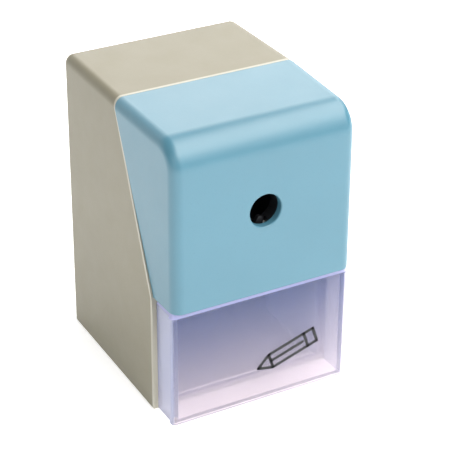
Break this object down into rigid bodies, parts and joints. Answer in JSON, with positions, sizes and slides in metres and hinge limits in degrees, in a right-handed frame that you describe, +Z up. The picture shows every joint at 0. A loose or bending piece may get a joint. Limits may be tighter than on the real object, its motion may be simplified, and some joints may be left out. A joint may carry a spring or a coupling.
{
  "type": "pencil sharpener",
  "caption": "Battery pencil sharpener: slant-seamed two-part casing, pencil hole in front, planetary helical cutter and pull-out shavings drawer.",
  "frame": {"origin": "centre of the footprint on the desk", "axes": "+Z up, the pencil hole and the drawer face -Y, +X to the right seen from the front"},
  "size_m": [0.0536, 0.0636, 0.082],
  "materials": {
    "hood_plastic": "satin moulded ABS, pale blue",
    "shell_plastic": "satin moulded ABS, warm grey-beige",
    "drawer_plastic": "frosted translucent polypropylene with a violet cast",
    "inner_plastic": "moulded ABS, off-white",
    "black_plastic": "moulded, black",
    "white_plastic": "moulded, white",
    "gear_plastic": "acetal, natural white",
    "rubber": "matt",
    "screw_steel": "zinc plated",
    "spring_steel": "nickel plated",
    "cutter_steel": "ground and hardened",
    "motor_steel": "zinc plated can",
    "brass": "machined",
    "copper": "enamelled copper winding on laminated steel",
    "circuit_board": "solder resist",
    "cell_wrap": "printed foil wrap without any mark"
  },
  "bodies": {
    "casing": {"base_plate": "shell_plastic", "base_screws": "screw_steel", "battery_box": "inner_plastic", "battery_cell_left": "cell_wrap", "battery_cell_right": "cell_wrap", "battery_contacts": "spring_steel", "battery_springs": "spring_steel", "board_parts": "black_plastic", "compound_axle": "cutter_steel", "control_board": "circuit_board", "drawer_switch": "black_plastic", "frame_screws": "screw_steel", "front_hood": "hood_plastic", "hood_screws": "screw_steel", "lever_pin": "cutter_steel", "mechanism_frame": "inner_plastic", "motor_can": "motor_steel", "motor_endcap": "white_plastic", "motor_screws": "screw_steel", "pencil_guide": "black_plastic", "rear_bearing": "brass", "rear_shell": "shell_plastic", "ring_gear": "gear_plastic", "ring_screws": "screw_steel", "rubber_feet": "rubber", "start_switch": "black_plastic"},
    "drawer": {"shavings_drawer": "drawer_plastic"},
    "carrier": {"cutter_carrier": "black_plastic", "carrier_gear": "gear_plastic", "cutter_axle": "cutter_steel"},
    "cutter": {"helical_cutter": "cutter_steel", "cutter_gear": "brass"},
    "compound": {"compound_gear": "gear_plastic"},
    "rotor": {"motor_pinion": "brass", "motor_armature": "copper", "motor_shaft": "cutter_steel"},
    "lever": {"start_lever": "black_plastic"},
    "start_button": {"start_plunger": "white_plastic"},
    "drawer_button": {"drawer_plunger": "white_plastic"},
    "battery_cover": {"battery_door": "shell_plastic"}
  },
  "joints": [
    {"name": "drawer_slide", "type": "slide", "parent": "casing", "child": "drawer", "axis": [0, -1, 0], "range_m": [0, 0.04]},
    {"name": "carrier_spin", "type": "hinge", "parent": "casing", "child": "carrier", "pos_m": [0, -0.0118, 0.0581], "axis": [0, 1, 0], "continuous": true},
    {"name": "cutter_spin", "type": "hinge", "parent": "carrier", "child": "cutter", "pos_m": [0, -0.0232, 0.06908], "axis": [0, 0.9816, -0.1908], "continuous": true},
    {"name": "compound_spin", "type": "hinge", "parent": "casing", "child": "compound", "pos_m": [0.0129, 0.0022, 0.06993], "axis": [0, 1, 0], "continuous": true},
    {"name": "motor_spin", "type": "hinge", "parent": "casing", "child": "rotor", "pos_m": [0.00194, 0.0132, 0.06897], "axis": [0, 1, 0], "continuous": true},
    {"name": "start_lever_pivot", "type": "hinge", "parent": "casing", "child": "lever", "pos_m": [-0.0105, -0.0281, 0.0484], "axis": [0, 1, 0], "range_deg": [0, 5.4]},
    {"name": "start_plunger_press", "type": "slide", "parent": "casing", "child": "start_button", "axis": [0, 0, -1], "range_m": [0, 0.0008], "stiffness_N_per_m": 10, "springref_m": -0.0001},
    {"name": "drawer_plunger_release", "type": "slide", "parent": "casing", "child": "drawer_button", "axis": [0, -1, 0], "range_m": [0, 0.0008]},
    {"name": "battery_door_pull", "type": "slide", "parent": "casing", "child": "battery_cover", "axis": [0, 1, 0], "range_m": [0, 0.006]}
  ],
  "couplings": [
    {"joint": "compound_spin", "follows": "motor_spin", "ratio": -0.22222},
    {"joint": "carrier_spin", "follows": "motor_spin", "ratio": 0.055556},
    {"joint": "cutter_spin", "follows": "motor_spin", "ratio": -0.15625},
    {"joint": "start_lever_pivot", "follows": "start_plunger_press", "rad_per_m": 117.8},
    {"joint": "drawer_plunger_release", "follows": "drawer_slide", "ratio": 0.02}
  ]
}
